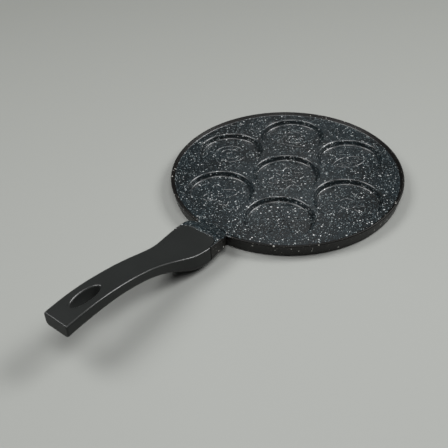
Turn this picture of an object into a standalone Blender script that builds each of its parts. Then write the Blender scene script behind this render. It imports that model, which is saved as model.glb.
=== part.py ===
"""A round cast pan with seven shallow wells and a bolted-on moulded handle.

Axes: the origin is the centre of the base, +X runs along the handle, +Z is up.
Every length below is in millimetres, and the meshes are made in metres.
"""

import math

import bmesh
import bpy

MM = 0.001

# Pan: rim, wall and cooking plate
RIM_RADIUS = 132.5
WALL_DRAFT = 3.1
PAN_HEIGHT = 16.1
LIP_WIDTH = 4.0
LIP_DEPTH = 3.1
LIP_FOOT_FILLET = 2.8
RIM_EDGE_RADIUS = 0.9
SKIRT_EDGE_RADIUS = 1.4
PLATE_THICKNESS = 4.0
SKIRT_THICKNESS = 3.9
SKIRT_LIFT = 0.6
WEB_FILLET = 2.0

# Wells: one in the middle and a ring of six, each over its own round foot.
# The lands are the flat widths left between wells, and between wells and lip.
RING_WELLS = 6
FIRST_WELL_ANGLE = 30.0
WELL_LAND = 11.9
RIM_LAND = 11.9
WELL_DEPTH = 6.9
WELL_MOUTH_FILLET = 2.0
WELL_MOUTH_RISE = 0.05
WELL_FLOOR_FILLET = 1.7
FOOT_WALL = 3.4
FOOT_CHAMFER = 1.0

# Neck and handle: distances along the handle are measured from the shoulder,
# where the casting's two horns end against the handle
NECK_LENGTH = 31.3
NECK_RISE = 10.2
NECK_HALF_WIDTH = 24.8
NECK_BOTTOM = 6.3
HANDLE_LENGTH = 173.8
GRIP_HALF_WIDTH = 14.6
GRIP_DEPTH = 13.9
GRIP_RISE = 28.9
TOP_EDGE_RADIUS = 2.2
BOTTOM_EDGE_RADIUS = 8.0
HANDLE_END_RADIUS = 1.6

# Tongue of the handle, held in the casting's pocket
TONGUE_LENGTH = 13.8
HORN_THICKNESS = 2.5
POCKET_CORNER_RADIUS = 9.0
JOINT_CLEARANCE = 0.3

# Hanging hole near the free end
HANG_HOLE_FROM_END = 35.1
HANG_HOLE_LENGTH = 34.0
HANG_HOLE_WIDTH = 13.4
HANG_HOLE_EDGE_RADIUS = 1.0
HANG_HOLE_TAPER = 0.8

# Screw joint: an M6 pan head screw with a flat and a spring washer
SCREW_DIAMETER = 6.0
SCREW_LENGTH = 40.0
SCREW_BELOW_TOP = 9.3
SCREW_HEAD_DIAMETER = 12.0
SCREW_HEAD_HEIGHT = 4.0
SCREW_SEAT_DISTANCE = 13.0
SCREW_TIP_CHAMFER = 0.8
THREAD_RUNOUT = 1.5
CROSS_SLOT_LENGTH = 6.4
CROSS_SLOT_WIDTH = 1.5
CROSS_SLOT_DEPTH = 2.4
WASHER_DIAMETER = 12.0
WASHER_THICKNESS = 1.6
SPRING_WASHER_DIAMETER = 11.4
SPRING_WASHER_THICKNESS = 1.6
SPRING_WASHER_SLOT = 1.6
SCREW_CLEARANCE = 0.3
COUNTERBORE_CLEARANCE = 0.6

# How finely round shapes are divided
RIM_SEGMENTS = 80
WELL_SEGMENTS = 40
FOOT_SEGMENTS = 32
SCREW_SEGMENTS = 24
HOLE_SEGMENTS = 32
TOP_EDGE_STEPS = 2
BOTTOM_EDGE_STEPS = 4
STATION_SPACING = 6.0
CUT_PAST = 10.0

# Levels and places worked out from the driving dimensions
PLATE_LEVEL = PAN_HEIGHT - LIP_DEPTH
WELL_FLOOR_LEVEL = PLATE_LEVEL - WELL_DEPTH
WEB_LEVEL = PLATE_LEVEL - PLATE_THICKNESS
BASE_RADIUS = RIM_RADIUS - WALL_DRAFT
LIP_INNER_RADIUS = RIM_RADIUS - LIP_WIDTH
WELL_PITCH_RATIO = 2 * math.sin(math.pi / RING_WELLS)
RING_RADIUS = (LIP_INNER_RADIUS - RIM_LAND + WELL_LAND / 2) / (1 + WELL_PITCH_RATIO / 2)
WELL_RADIUS = (min(WELL_PITCH_RATIO, 1.0) * RING_RADIUS - WELL_LAND) / 2
FOOT_RADIUS = WELL_RADIUS + FOOT_WALL
SHOULDER_X = RIM_RADIUS + NECK_LENGTH
NECK_TOP = PAN_HEIGHT + NECK_RISE
GRIP_TOP = NECK_TOP + GRIP_RISE
HANDLE_END_X = SHOULDER_X + HANDLE_LENGTH
TONGUE_FRONT_X = SHOULDER_X - TONGUE_LENGTH
TONGUE_HALF_WIDTH = NECK_HALF_WIDTH - HORN_THICKNESS
SCREW_LEVEL = NECK_TOP - SCREW_BELOW_TOP
SCREW_SEAT_X = SHOULDER_X + SCREW_SEAT_DISTANCE
SCREW_BORE_RADIUS = SCREW_DIAMETER / 2 + SCREW_CLEARANCE
WASHER_X = SCREW_SEAT_X + JOINT_CLEARANCE
SPRING_WASHER_X = WASHER_X + WASHER_THICKNESS + JOINT_CLEARANCE
SCREW_HEAD_X = SPRING_WASHER_X + SPRING_WASHER_THICKNESS + JOINT_CLEARANCE
SCREW_TIP_X = SCREW_HEAD_X - SCREW_LENGTH


def clear_scene():
    """Start from an empty scene."""
    for item in list(bpy.data.objects):
        bpy.data.objects.remove(item, do_unlink=True)


def make_material(name, colour, roughness, metallic):
    """A plain Principled finish with the piece's own colour."""
    finish = bpy.data.materials.new(name)
    finish.use_nodes = True
    shader = finish.node_tree.nodes["Principled BSDF"]
    shader.inputs["Base Color"].default_value = (*colour, 1.0)
    shader.inputs["Roughness"].default_value = roughness
    shader.inputs["Metallic"].default_value = metallic
    return finish


def face_outwards(mesh_data):
    """Give a closed shell consistent faces that point out of it."""
    bmesh.ops.recalc_face_normals(mesh_data, faces=mesh_data.faces)
    if mesh_data.calc_volume(signed=True) < 0.0:
        bmesh.ops.reverse_faces(mesh_data, faces=mesh_data.faces)
    return mesh_data


def add_object(name, mesh_data, finish=None, smooth_angle=35.0):
    """Turn a bmesh into a smooth shaded object."""
    mesh = bpy.data.meshes.new(name)
    mesh_data.to_mesh(mesh)
    mesh_data.free()
    mesh.shade_smooth()
    mesh.set_sharp_from_angle(angle=math.radians(smooth_angle))
    if finish is not None:
        mesh.materials.append(finish)
    item = bpy.data.objects.new(name, mesh)
    bpy.context.collection.objects.link(item)
    return item


def as_helper(item):
    """Mark an object as a shape that only cuts or joins others."""
    item.hide_render = True
    item.display_type = "WIRE"
    return item


def combine(target, helper, operation):
    """Cut, join or trim a piece with a helper shape."""
    as_helper(helper)
    modifier = target.modifiers.new(operation.lower() + "_" + helper.name, "BOOLEAN")
    modifier.operation = operation
    modifier.solver = "EXACT"
    modifier.object = helper


def arc(centre, radius, start, end, steps):
    """Points on a circular arc, angles in degrees."""
    points = []
    for step in range(steps + 1):
        angle = math.radians(start + (end - start) * step / steps)
        points.append((centre[0] + radius * math.cos(angle), centre[1] + radius * math.sin(angle)))
    return points


def turned(profile, segments, place=(0.0, 0.0), axis="Z"):
    """Spin a profile of (radius, height) points once round, with flat ends.

    The profile's two end points give the rims of the two flat round faces.
    With axis "X" the shape's height lies along +X, and place is its (y, z).
    """
    mesh_data = bmesh.new()
    verts = [mesh_data.verts.new((radius * MM, 0.0, height * MM)) for radius, height in profile]
    edges = [mesh_data.edges.new(pair) for pair in zip(verts, verts[1:])]
    bmesh.ops.spin(
        mesh_data,
        geom=verts + edges,
        axis=(0.0, 0.0, 1.0),
        cent=(0.0, 0.0, 0.0),
        angle=math.tau,
        steps=segments,
        use_merge=True,
    )
    rims = [edge for edge in mesh_data.edges if edge.is_boundary]
    bmesh.ops.holes_fill(mesh_data, edges=rims, sides=0)
    for vert in mesh_data.verts:
        x, y, z = vert.co
        if axis == "X":
            vert.co = (z, x + place[0] * MM, y + place[1] * MM)
        else:
            vert.co = (x + place[0] * MM, y + place[1] * MM, z)
    return face_outwards(mesh_data)


def prism(outline, low, high):
    """Extrude a flat outline of (x, y) points between two heights."""
    mesh_data = bmesh.new()
    verts = [mesh_data.verts.new((x * MM, y * MM, low * MM)) for x, y in outline]
    face = mesh_data.faces.new(verts)
    grown = bmesh.ops.extrude_face_region(mesh_data, geom=[face])
    raised = [item for item in grown["geom"] if isinstance(item, bmesh.types.BMVert)]
    bmesh.ops.translate(mesh_data, verts=raised, vec=(0.0, 0.0, (high - low) * MM))
    return face_outwards(mesh_data)


def loft(sections):
    """Skin a row of closed sections that have the same number of points."""
    mesh_data = bmesh.new()
    rings = []
    for section in sections:
        rings.append([mesh_data.verts.new((x * MM, y * MM, z * MM)) for x, y, z in section])
    count = len(rings[0])
    for ring, following in zip(rings, rings[1:]):
        for i in range(count):
            j = (i + 1) % count
            mesh_data.faces.new((ring[i], ring[j], following[j], following[i]))
    mesh_data.faces.new(rings[0])
    mesh_data.faces.new(rings[-1])
    return face_outwards(mesh_data)


def well_centres():
    """The middle well, then the ring of wells; the handle lies between two."""
    centres = [(0.0, 0.0)]
    for index in range(RING_WELLS):
        angle = math.radians(FIRST_WELL_ANGLE + index * 360.0 / RING_WELLS)
        centres.append((RING_RADIUS * math.cos(angle), RING_RADIUS * math.sin(angle)))
    return centres


def wall_radius(level):
    """Radius of the drafted outer wall at a height."""
    return BASE_RADIUS + WALL_DRAFT * level / PAN_HEIGHT


def casting_profile():
    """From the foot of the lip over the rim and down the wall to the underside."""
    foot_centre = (LIP_INNER_RADIUS - LIP_FOOT_FILLET, PLATE_LEVEL + LIP_FOOT_FILLET)
    profile = arc(foot_centre, LIP_FOOT_FILLET, -90.0, 0.0, 3)
    profile.append((LIP_INNER_RADIUS + RIM_EDGE_RADIUS / 3, PAN_HEIGHT))
    rim_centre = (wall_radius(PAN_HEIGHT) - RIM_EDGE_RADIUS, PAN_HEIGHT - RIM_EDGE_RADIUS)
    profile += arc(rim_centre, RIM_EDGE_RADIUS, 90.0, 0.0, 2)
    skirt_top = SKIRT_LIFT + SKIRT_EDGE_RADIUS
    skirt_centre = (wall_radius(skirt_top) - SKIRT_EDGE_RADIUS, skirt_top)
    profile += arc(skirt_centre, SKIRT_EDGE_RADIUS, 0.0, -90.0, 3)
    inner_low = wall_radius(SKIRT_LIFT) - SKIRT_THICKNESS
    profile.append((inner_low, SKIRT_LIFT))
    web_centre = (inner_low - WEB_FILLET, WEB_LEVEL - WEB_FILLET)
    profile += arc(web_centre, WEB_FILLET, 0.0, 90.0, 2)
    return profile


def well_profile():
    """Cutter for one well: floor, floor fillet, wall and rounded mouth."""
    floor_centre = (WELL_RADIUS - WELL_FLOOR_FILLET, WELL_FLOOR_LEVEL + WELL_FLOOR_FILLET)
    mouth = WELL_RADIUS + WELL_MOUTH_FILLET
    mouth_centre = (mouth, PLATE_LEVEL - WELL_MOUTH_FILLET)
    profile = arc(floor_centre, WELL_FLOOR_FILLET, -90.0, 0.0, 2)
    profile += arc(mouth_centre, WELL_MOUTH_FILLET, 180.0, 120.0, 2)
    profile.append((mouth, PLATE_LEVEL + WELL_MOUTH_RISE))
    profile.append((mouth, PLATE_LEVEL + CUT_PAST))
    return profile


def foot_profile():
    """Round foot under one well, up into the plate that carries it."""
    return [
        (FOOT_RADIUS - FOOT_CHAMFER, 0.0),
        (FOOT_RADIUS, FOOT_CHAMFER),
        (FOOT_RADIUS, (WEB_LEVEL + PLATE_LEVEL) / 2),
    ]


def shared_outline():
    """Half width, top and bottom of the neck and handle at chosen stations.

    The first value of each station is its distance from the shoulder.
    """
    root = -NECK_LENGTH
    return [
        (root - 3.7, 16.0, PAN_HEIGHT - 0.7, NECK_BOTTOM - 1.7),
        (root + 0.5, 18.4, PAN_HEIGHT + 2.3, NECK_BOTTOM - 1.5),
        (root + 5.5, 21.6, PAN_HEIGHT + 6.0, NECK_BOTTOM - 0.7),
        (root + 10.5, 23.9, PAN_HEIGHT + 8.9, NECK_BOTTOM + 0.6),
        (root + 15.5, NECK_HALF_WIDTH, NECK_TOP - 0.3, NECK_BOTTOM + 2.4),
        (root + 20.5, NECK_HALF_WIDTH + 0.1, NECK_TOP - 0.1, NECK_BOTTOM + 3.1),
        (0.0, NECK_HALF_WIDTH, NECK_TOP, NECK_BOTTOM),
        (11.0, NECK_HALF_WIDTH - 0.8, NECK_TOP + 0.4, NECK_BOTTOM + 1.0),
        (21.0, NECK_HALF_WIDTH - 2.5, NECK_TOP + 1.6, NECK_BOTTOM + 1.7),
        (31.0, NECK_HALF_WIDTH - 5.2, NECK_TOP + 4.2, NECK_TOP - 14.0),
        (41.0, GRIP_HALF_WIDTH + 2.7, NECK_TOP + 7.5, NECK_TOP - 8.6),
        (56.0, GRIP_HALF_WIDTH + 0.8, NECK_TOP + 12.9, NECK_TOP - 1.2),
        (71.0, GRIP_HALF_WIDTH + 0.1, NECK_TOP + 17.8, NECK_TOP + 4.7),
        (86.0, GRIP_HALF_WIDTH - 0.1, NECK_TOP + 21.7, NECK_TOP + 8.8),
        (101.0, GRIP_HALF_WIDTH - 0.1, NECK_TOP + 24.7, NECK_TOP + 11.7),
        (HANDLE_LENGTH - 57.6, GRIP_HALF_WIDTH, GRIP_TOP - 2.0, GRIP_TOP - GRIP_DEPTH - 1.3),
        (HANDLE_LENGTH - 42.6, GRIP_HALF_WIDTH + 0.2, GRIP_TOP - 0.5, GRIP_TOP - GRIP_DEPTH - 0.5),
        (HANDLE_LENGTH - 27.6, GRIP_HALF_WIDTH + 0.3, GRIP_TOP, GRIP_TOP - GRIP_DEPTH - 0.4),
        (HANDLE_LENGTH - 12.6, GRIP_HALF_WIDTH + 0.3, GRIP_TOP - 0.4, GRIP_TOP - GRIP_DEPTH - 0.9),
        (HANDLE_LENGTH, GRIP_HALF_WIDTH + 0.3, GRIP_TOP - 1.3, GRIP_TOP - GRIP_DEPTH - 2.0),
    ]


def outline_at(distance):
    """Smooth curve through the stations: half width, top and bottom."""
    stations = shared_outline()
    index = 0
    while index < len(stations) - 2 and distance > stations[index + 1][0]:
        index += 1
    before = stations[max(index - 1, 0)]
    start = stations[index]
    end = stations[index + 1]
    after = stations[min(index + 2, len(stations) - 1)]
    span = end[0] - start[0]
    t = (distance - start[0]) / span
    values = []
    for column in (1, 2, 3):
        start_slope = (end[column] - before[column]) / (end[0] - before[0])
        end_slope = (after[column] - start[column]) / (after[0] - start[0])
        values.append(
            (2 * t**3 - 3 * t**2 + 1) * start[column]
            + (t**3 - 2 * t**2 + t) * span * start_slope
            + (3 * t**2 - 2 * t**3) * end[column]
            + (t**3 - t**2) * span * end_slope
        )
    return values


def section_at(distance, inset=0.0):
    """One upright section of the neck and handle: flat top, rounded bottom."""
    half_width, top, bottom = outline_at(distance)
    half_width -= inset
    top -= inset
    bottom += inset
    top_radius = TOP_EDGE_RADIUS - 0.5 * inset
    bottom_radius = min(BOTTOM_EDGE_RADIUS, top - bottom - top_radius - 1.0)
    side = arc((half_width - top_radius, top - top_radius), top_radius, 90.0, 0.0, TOP_EDGE_STEPS)
    low_centre = (half_width - bottom_radius, bottom + bottom_radius)
    side += arc(low_centre, bottom_radius, 0.0, -90.0, BOTTOM_EDGE_STEPS)
    mirrored = [(-y, z) for y, z in reversed(side)]
    x = SHOULDER_X + distance
    return [(x, y, z) for y, z in side + mirrored]


def spaced(start, end):
    """Even distances from start to end, about one station spacing apart."""
    steps = max(1, round((end - start) / STATION_SPACING))
    return [start + (end - start) * step / steps for step in range(steps + 1)]


def tongue_outline(clearance, rear):
    """Plan of the tongue: straight front, two rounded corners, straight sides."""
    front = TONGUE_FRONT_X + clearance
    half_width = TONGUE_HALF_WIDTH - clearance
    radius = POCKET_CORNER_RADIUS - clearance
    corner_x = front + radius
    corner_y = half_width - radius
    outline = [(rear, -half_width)]
    outline += arc((corner_x, -corner_y), radius, -90.0, -180.0, 6)
    outline += arc((corner_x, corner_y), radius, 180.0, 90.0, 6)
    outline.append((rear, half_width))
    return outline


def pan_body(finish):
    """The casting: plate, lip, wall, wells with their feet, and the neck."""
    body = add_object("pan_body", turned(casting_profile(), RIM_SEGMENTS), finish)

    for number, centre in enumerate(well_centres()):
        foot = turned(foot_profile(), FOOT_SEGMENTS, centre)
        combine(body, add_object(f"foot_{number}_shape", foot), "UNION")

    start = shared_outline()[0][0]
    neck = loft([section_at(distance) for distance in spaced(start, 0.0)])
    combine(body, add_object("neck_shape", neck), "UNION")
    for number, centre in enumerate(well_centres()):
        well = turned(well_profile(), WELL_SEGMENTS, centre)
        combine(body, add_object(f"well_{number}_cut", well), "DIFFERENCE")

    pocket = prism(tongue_outline(0.0, SHOULDER_X + CUT_PAST), -CUT_PAST, NECK_TOP + CUT_PAST)
    combine(body, add_object("pocket_cut", pocket), "DIFFERENCE")

    bore_start = SCREW_TIP_X - THREAD_RUNOUT
    bore = turned(
        [(SCREW_BORE_RADIUS, bore_start), (SCREW_BORE_RADIUS, TONGUE_FRONT_X + CUT_PAST)],
        SCREW_SEGMENTS,
        (0.0, SCREW_LEVEL),
        "X",
    )
    combine(body, add_object("thread_cut", bore), "DIFFERENCE")
    return body


def handle_grip(finish):
    """The moulded handle: tongue, belly over the screw, grip and hanging hole."""
    start = -TONGUE_LENGTH - CUT_PAST
    start = max(start, shared_outline()[0][0])
    straight_end = HANDLE_LENGTH - HANDLE_END_RADIUS
    sections = [section_at(distance) for distance in spaced(start, straight_end)]
    for angle in (30.0, 60.0, 90.0):
        reach = HANDLE_END_RADIUS * math.sin(math.radians(angle))
        inset = HANDLE_END_RADIUS * (1.0 - math.cos(math.radians(angle)))
        sections.append(section_at(straight_end + reach, inset))
    grip = add_object("handle_grip", loft(sections), finish)

    shoulder = SHOULDER_X + JOINT_CLEARANCE
    wide = NECK_HALF_WIDTH + CUT_PAST
    far = HANDLE_END_X + CUT_PAST
    plan = [(far, -wide), (shoulder, -wide)]
    plan += tongue_outline(JOINT_CLEARANCE, shoulder)
    plan += [(shoulder, wide), (far, wide)]
    keep = prism(plan, -CUT_PAST, GRIP_TOP + CUT_PAST)
    combine(grip, add_object("handle_plan", keep), "INTERSECT")

    bore = turned(
        [(SCREW_BORE_RADIUS, TONGUE_FRONT_X - CUT_PAST), (SCREW_BORE_RADIUS, SCREW_SEAT_X + 1.0)],
        SCREW_SEGMENTS,
        (0.0, SCREW_LEVEL),
        "X",
    )
    combine(grip, add_object("screw_hole_cut", bore), "DIFFERENCE")

    counterbore_radius = max(SCREW_HEAD_DIAMETER, WASHER_DIAMETER) / 2 + COUNTERBORE_CLEARANCE
    counterbore_end = SCREW_SEAT_X + 5 * CUT_PAST
    counterbore = turned(
        [(counterbore_radius, SCREW_SEAT_X), (counterbore_radius, counterbore_end)],
        SCREW_SEGMENTS,
        (0.0, SCREW_LEVEL),
        "X",
    )
    combine(grip, add_object("counterbore_cut", counterbore), "DIFFERENCE")
    combine(grip, add_object("hang_hole_cut", hang_hole()), "DIFFERENCE")
    return grip


def hang_hole():
    """Oval through hole that narrows downwards, with rounded mouths."""
    centre_distance = HANDLE_LENGTH - HANG_HOLE_FROM_END
    half_width, top, bottom = outline_at(centre_distance)
    edge = HANG_HOLE_EDGE_RADIUS
    levels = [
        (top + CUT_PAST, edge),
        (top, edge),
        (top - 0.3 * edge, 0.3 * edge),
        (top - edge, 0.0),
        (bottom + edge, -HANG_HOLE_TAPER),
        (bottom + 0.3 * edge, 0.3 * edge - HANG_HOLE_TAPER),
        (bottom, edge - HANG_HOLE_TAPER),
        (bottom - CUT_PAST, edge - HANG_HOLE_TAPER),
    ]
    sections = []
    for level, grow in levels:
        section = []
        for step in range(HOLE_SEGMENTS):
            angle = math.tau * step / HOLE_SEGMENTS
            x = SHOULDER_X + centre_distance + (HANG_HOLE_LENGTH / 2 + grow) * math.cos(angle)
            y = (HANG_HOLE_WIDTH / 2 + grow) * math.sin(angle)
            section.append((x, y, level))
        sections.append(section)
    return loft(sections)


def handle_screw(finish):
    """M6 pan head screw that pulls the handle's tongue into the pocket."""
    radius = SCREW_DIAMETER / 2
    head_radius = SCREW_HEAD_DIAMETER / 2
    head_end = SCREW_HEAD_X + SCREW_HEAD_HEIGHT
    crown = 0.45 * SCREW_HEAD_HEIGHT
    profile = [
        (radius - SCREW_TIP_CHAMFER, SCREW_TIP_X),
        (radius, SCREW_TIP_X + SCREW_TIP_CHAMFER),
        (radius, SCREW_HEAD_X),
        (head_radius, SCREW_HEAD_X),
        (head_radius, head_end - crown),
        (head_radius - 0.35 * crown, head_end - 0.45 * crown),
        (head_radius - 1.2 * crown, head_end),
    ]
    screw = add_object("handle_screw", turned(profile, SCREW_SEGMENTS, (0.0, SCREW_LEVEL), "X"), finish)
    slot_start = head_end - CROSS_SLOT_DEPTH
    half_length = CROSS_SLOT_LENGTH / 2
    half_width = CROSS_SLOT_WIDTH / 2
    for name, reach_y, reach_z in (
        ("cross_slot_flat", half_length, half_width),
        ("cross_slot_upright", half_width, half_length),
    ):
        slot = prism(
            [
                (slot_start, -reach_y),
                (head_end + CUT_PAST, -reach_y),
                (head_end + CUT_PAST, reach_y),
                (slot_start, reach_y),
            ],
            SCREW_LEVEL - reach_z,
            SCREW_LEVEL + reach_z,
        )
        combine(screw, add_object(name, slot), "DIFFERENCE")
    return screw


def ring(name, inner_radius, outer_radius, start, thickness, finish):
    """A flat ring round the screw."""
    disc_profile = [(outer_radius, start), (outer_radius, start + thickness)]
    disc = turned(disc_profile, SCREW_SEGMENTS, (0.0, SCREW_LEVEL), "X")
    item = add_object(name, disc, finish)
    hole_profile = [(inner_radius, start - CUT_PAST), (inner_radius, start + thickness + CUT_PAST)]
    hole = turned(hole_profile, SCREW_SEGMENTS, (0.0, SCREW_LEVEL), "X")
    combine(item, add_object(name + "_hole", hole), "DIFFERENCE")
    return item


def spring_washer(finish):
    """Split lock washer between the flat washer and the screw's head."""
    outer = SPRING_WASHER_DIAMETER / 2
    item = ring(
        "spring_washer", SCREW_BORE_RADIUS, outer, SPRING_WASHER_X, SPRING_WASHER_THICKNESS, finish
    )
    half_slot = SPRING_WASHER_SLOT / 2
    slant = 0.5 * SPRING_WASHER_THICKNESS
    front = SPRING_WASHER_X - 1.0
    rear = SPRING_WASHER_X + SPRING_WASHER_THICKNESS + 1.0
    slot = prism(
        [
            (front, -half_slot - slant),
            (front, half_slot - slant),
            (rear, half_slot + slant),
            (rear, -half_slot + slant),
        ],
        SCREW_LEVEL,
        SCREW_LEVEL + outer + CUT_PAST,
    )
    combine(item, add_object("spring_washer_slot", slot), "DIFFERENCE")
    return item


def main():
    """Build every piece of the pan."""
    clear_scene()
    coated_casting = make_material("coated_casting", (0.035, 0.042, 0.048), 0.5, 0.0)
    moulded_phenolic = make_material("moulded_phenolic", (0.03, 0.03, 0.03), 0.55, 0.0)
    zinc_steel = make_material("zinc_steel", (0.6, 0.6, 0.58), 0.35, 1.0)

    pan_body(coated_casting)
    handle_grip(moulded_phenolic)
    handle_screw(zinc_steel)
    ring(
        "flat_washer",
        SCREW_BORE_RADIUS,
        WASHER_DIAMETER / 2,
        WASHER_X,
        WASHER_THICKNESS,
        zinc_steel,
    )
    spring_washer(zinc_steel)


main()
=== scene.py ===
# %% [markdown]
# A cast crepe pan, dressed for its picture. The pan is one casting with a low
# rim, seven shallow round wells and a short thick neck, and a long moulded
# handle is let into the neck and held by one screw. The measured model is loaded
# first. It gives every size: the casting and the handle are drawn again here with
# finer curves, in the same place, and every piece then gets its finish.

import math

import bmesh
import bpy
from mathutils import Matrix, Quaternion, Vector


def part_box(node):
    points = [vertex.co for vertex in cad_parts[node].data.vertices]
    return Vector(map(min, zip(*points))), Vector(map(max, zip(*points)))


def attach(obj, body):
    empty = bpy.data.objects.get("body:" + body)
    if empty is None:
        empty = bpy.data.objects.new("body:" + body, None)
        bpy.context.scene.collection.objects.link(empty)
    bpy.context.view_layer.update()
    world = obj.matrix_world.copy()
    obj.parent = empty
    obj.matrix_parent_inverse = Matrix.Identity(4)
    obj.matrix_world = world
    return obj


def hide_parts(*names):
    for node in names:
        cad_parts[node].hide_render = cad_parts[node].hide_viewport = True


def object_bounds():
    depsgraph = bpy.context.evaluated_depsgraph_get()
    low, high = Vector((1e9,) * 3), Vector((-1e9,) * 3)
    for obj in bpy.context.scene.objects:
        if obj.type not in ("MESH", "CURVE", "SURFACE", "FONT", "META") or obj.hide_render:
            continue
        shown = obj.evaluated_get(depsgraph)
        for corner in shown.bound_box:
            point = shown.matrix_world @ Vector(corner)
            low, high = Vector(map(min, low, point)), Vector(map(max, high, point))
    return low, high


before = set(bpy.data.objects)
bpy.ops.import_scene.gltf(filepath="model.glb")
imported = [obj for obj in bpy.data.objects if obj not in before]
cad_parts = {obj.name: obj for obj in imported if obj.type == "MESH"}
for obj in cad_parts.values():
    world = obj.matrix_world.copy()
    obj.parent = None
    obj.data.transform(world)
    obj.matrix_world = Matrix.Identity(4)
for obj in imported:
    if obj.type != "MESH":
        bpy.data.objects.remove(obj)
cad_low, cad_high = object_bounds()
MM = 0.001
print("measured model in mm:", [round(size / MM, 1) for size in cad_high - cad_low])


# %% [markdown]
# Lengths are written in millimetres and turned into metres where a mesh is made.
# The overall places come from the boxes of the measured pieces. The small sizes
# of the casting, such as its lip and its fillets, can't be read from a box, so
# they are named here once.

# %% Sizes of the casting
pan_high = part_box("pan_body")[1]
RIM_RADIUS = pan_high.y / MM
SHOULDER_X = pan_high.x / MM
PAN_HEIGHT = 16.1
WALL_DRAFT = 3.1
LIP_WIDTH = 4.0
LIP_DEPTH = 3.1
LIP_FOOT_FILLET = 1.6
LIP_EDGE_RADIUS = 1.0
LIP_LEAN_ANGLE = 42.0
RIM_EDGE_RADIUS = 1.6
SKIRT_EDGE_RADIUS = 1.4
SKIRT_THICKNESS = 3.9
SKIRT_LIFT = 0.6
PLATE_LEVEL = PAN_HEIGHT - LIP_DEPTH
WEB_LEVEL = 9.0
WEB_FILLET = 2.0
LIP_INNER_RADIUS = RIM_RADIUS - LIP_WIDTH
RIM_STEPS = 256
print("rim radius", round(RIM_RADIUS, 1), "shoulder at", round(SHOULDER_X, 1))


# %% [markdown]
# Most of a pan is round, and a round thing can be turned, as on a lathe: half of
# the section is drawn as a line, which is then spun about the upright axis. The
# line starts as a plane merged into one point, and each further point is extruded
# from the last. Another helper gives the points of a round corner, so that every
# fillet has its real radius.

# %% Helpers for turned shapes
DOUBLES_GAP = 0.002


def choose(piece):
    """Make this the one selected and active object."""
    bpy.ops.object.select_all(action="DESELECT")
    piece.select_set(True)
    bpy.context.view_layer.objects.active = piece


def add_shape(add, name, **settings):
    """Add a primitive with nothing else selected, bake its place in, and name it."""
    bpy.ops.object.select_all(action="DESELECT")
    add(**settings)
    bpy.ops.object.transform_apply(location=True, rotation=True, scale=True)
    made = bpy.context.object
    made.name = made.data.name = name
    return made


def polar(reach, angle):
    """The point at a distance and an angle in radians."""
    return (reach * math.cos(angle), reach * math.sin(angle))


def arc(centre, radius, start, end, steps):
    """Points on a round corner, angles in degrees."""
    points = []
    for step in range(steps + 1):
        x, y = polar(radius, math.radians(start + (end - start) * step / steps))
        points.append((centre[0] + x, centre[1] + y))
    return points


def draw_line(name, points):
    """Extrude a single point along a row of (x, y, z) points in millimetres."""
    piece = add_shape(bpy.ops.mesh.primitive_plane_add, name, size=MM, location=(0.0, 0.0, 0.0))
    bpy.ops.object.mode_set(mode="EDIT")
    bpy.ops.mesh.merge(type="CENTER")
    places = [Vector(point) * MM for point in points]
    bpy.ops.transform.translate(value=places[0])
    for place, following in zip(places, places[1:]):
        bpy.ops.mesh.extrude_region_move(TRANSFORM_OT_translate={"value": following - place})
    return piece


def face_outwards():
    """Turn all the faces out, and leave edit mode."""
    bpy.ops.mesh.select_all(action="SELECT")
    bpy.ops.mesh.normals_make_consistent(inside=False)
    bpy.ops.object.mode_set(mode="OBJECT")


def close_and_face_outwards():
    """In edit mode: merge doubled points, fill the open rims and turn the faces out."""
    bpy.ops.mesh.select_all(action="SELECT")
    bpy.ops.mesh.remove_doubles(threshold=DOUBLES_GAP * MM)
    bpy.ops.mesh.fill_holes(sides=0)
    face_outwards()


def turn(name, profile, steps):
    """Spin a profile of (radius, height) points into a closed body with flat ends."""
    piece = draw_line(name, [(radius, 0.0, height) for radius, height in profile])
    bpy.ops.mesh.select_all(action="SELECT")
    bpy.ops.mesh.spin(steps=steps, angle=math.tau, center=(0.0, 0.0, 0.0), axis=(0.0, 0.0, 1.0))
    close_and_face_outwards()
    return piece


# %% [markdown]
# A finished shape is put in its place, and then joined to another, cut out of it
# or used to trim it. Boolean modifiers do that, and each is applied at once. A
# casting and a moulding are closed bodies, so a report after each step counts the
# open edges: there should be none.

# %% Helpers to place, combine and measure shapes
def place_at(piece, offset, quarter_turn=False):
    """Move a finished shape, after laying its axis along +X where asked, and bake the place in."""
    choose(piece)
    if quarter_turn:
        piece.rotation_euler = (0.0, math.radians(90.0), 0.0)
    piece.location = Vector(offset) * MM
    bpy.ops.object.transform_apply(location=True, rotation=True, scale=True)
    return piece


def combine(piece, tool, operation):
    """Join, cut or trim a piece with a second shape, which is used up."""
    choose(piece)
    bpy.ops.object.modifier_add(type="BOOLEAN")
    step = piece.modifiers[-1]
    step.operation = operation
    step.solver = "EXACT"
    step.object = tool
    bpy.ops.object.modifier_apply(modifier=step.name)
    bpy.data.objects.remove(tool, do_unlink=True)


def join_all(pieces):
    """Make one object of several shapes that stay apart."""
    choose(pieces[0])
    for piece in pieces:
        piece.select_set(True)
    bpy.ops.object.join()
    return pieces[0]


def report(piece):
    """Print what was made: faces, open edges and size."""
    check = bmesh.new()
    check.from_mesh(piece.data)
    open_edges = sum(1 for edge in check.edges if not edge.is_manifold)
    volume = check.calc_volume(signed=True) / MM**3 / 1000
    check.free()
    faces = len(piece.data.polygons)
    size = [round(length / MM, 1) for length in piece.dimensions]
    print(piece.name, faces, "faces,", open_edges, "open edges,", size, round(volume, 1), "cm3")


# %% [markdown]
# The casting starts as a turned dish. Its section runs from the foot of the lip
# over the rim, down the slightly slanted wall, round the bottom edge and back
# under the plate. A casting has no sharp corners, so each corner is an arc. The
# wall leans outwards because a cast piece has to leave its mould. The inner face
# of the lip leans much more, so that a turner slides over it under a crepe.

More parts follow.
